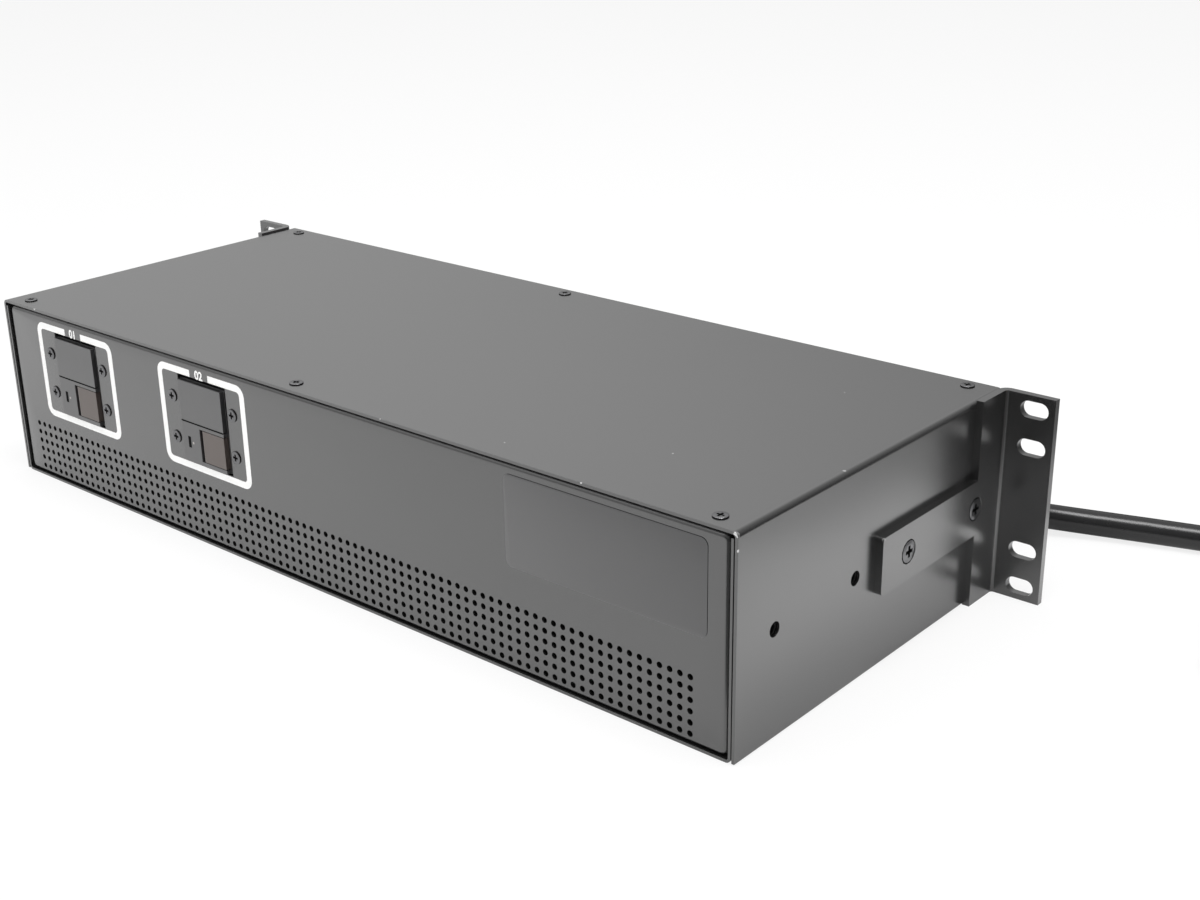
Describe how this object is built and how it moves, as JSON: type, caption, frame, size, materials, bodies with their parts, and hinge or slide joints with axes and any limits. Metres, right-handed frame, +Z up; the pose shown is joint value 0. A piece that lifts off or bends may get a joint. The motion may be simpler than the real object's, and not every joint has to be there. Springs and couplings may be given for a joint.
{
  "type": "rack power distribution unit",
  "caption": "Black 2U rack-mount power distribution unit with two-pole rocker breakers over a vented panel, rear outlets, bolt-on rack ears and a supply cord with a locking plug.",
  "frame": {"origin": "bottom centre of the unit without its cord, on the surface it stands on", "axes": "+Z up, +X along the breaker panel to its right as seen from the front, breaker panel faces -Y, outlets face +Y"},
  "size_m": [0.7307, 0.2949, 0.0881],
  "materials": {
    "powder_coat": "finely textured satin black powder coat on folded steel sheet",
    "black_screw": "black oxide",
    "breaker_plastic": "moulded black phenolic",
    "rocker_plastic": "smooth moulded black",
    "outlet_plastic": "moulded black",
    "board_laminate": "green glass laminate",
    "bushing_nylon": "moulded black nylon",
    "cord_jacket": "smooth flexible black jacket",
    "plug_rubber": "moulded black",
    "blade_brass": "drawn brass",
    "block_plastic": "moulded natural",
    "bare_steel": "zinc plated",
    "wire_insulation": "smooth black insulation"
  },
  "bodies": {
    "chassis": {"bank_1_wires": "wire_insulation", "bank_2_wires": "wire_insulation", "base_tray": "powder_coat", "breaker_1_blank_pole": "breaker_plastic", "breaker_1_switch_pole": "breaker_plastic", "breaker_2_blank_pole": "breaker_plastic", "breaker_2_switch_pole": "breaker_plastic", "cord": "cord_jacket", "cord_coil": "cord_jacket", "cord_end": "cord_jacket", "cover": "powder_coat", "ear_screws": "black_screw", "earth_stud": "bare_steel", "feed_wires_1": "wire_insulation", "feed_wires_2": "wire_insulation", "front_panel": "powder_coat", "input_wires": "wire_insulation", "outlet_board_1": "board_laminate", "outlet_board_2": "board_laminate", "outlet_large_1": "outlet_plastic", "outlet_large_2": "outlet_plastic", "outlet_large_3": "outlet_plastic", "outlet_large_4": "outlet_plastic", "outlet_panel": "powder_coat", "outlet_small_1": "outlet_plastic", "outlet_small_10": "outlet_plastic", "outlet_small_11": "outlet_plastic", "outlet_small_12": "outlet_plastic", "outlet_small_13": "outlet_plastic", "outlet_small_14": "outlet_plastic", "outlet_small_15": "outlet_plastic", "outlet_small_16": "outlet_plastic", "outlet_small_2": "outlet_plastic", "outlet_small_3": "outlet_plastic", "outlet_small_4": "outlet_plastic", "outlet_small_5": "outlet_plastic", "outlet_small_6": "outlet_plastic", "outlet_small_7": "outlet_plastic", "outlet_small_8": "outlet_plastic", "outlet_small_9": "outlet_plastic", "plug_blade_1": "blade_brass", "plug_blade_2": "blade_brass", "plug_blade_3": "blade_brass", "plug_body": "plug_rubber", "rack_ear_left": "powder_coat", "rack_ear_right": "powder_coat", "strain_relief": "bushing_nylon", "terminal_block": "block_plastic"},
    "rocker_1": {"breaker_1_rocker": "rocker_plastic"},
    "rocker_2": {"breaker_2_rocker": "rocker_plastic"}
  },
  "joints": [
    {"name": "rocker_1_hinge", "type": "hinge", "parent": "chassis", "child": "rocker_1", "pos_m": [-0.1608, -0.087, 0.0478], "axis": [0, 0, -1], "range_deg": [0, 12]},
    {"name": "rocker_2_hinge", "type": "hinge", "parent": "chassis", "child": "rocker_2", "pos_m": [-0.0663, -0.087, 0.0478], "axis": [0, 0, -1], "range_deg": [0, 12]}
  ]
}
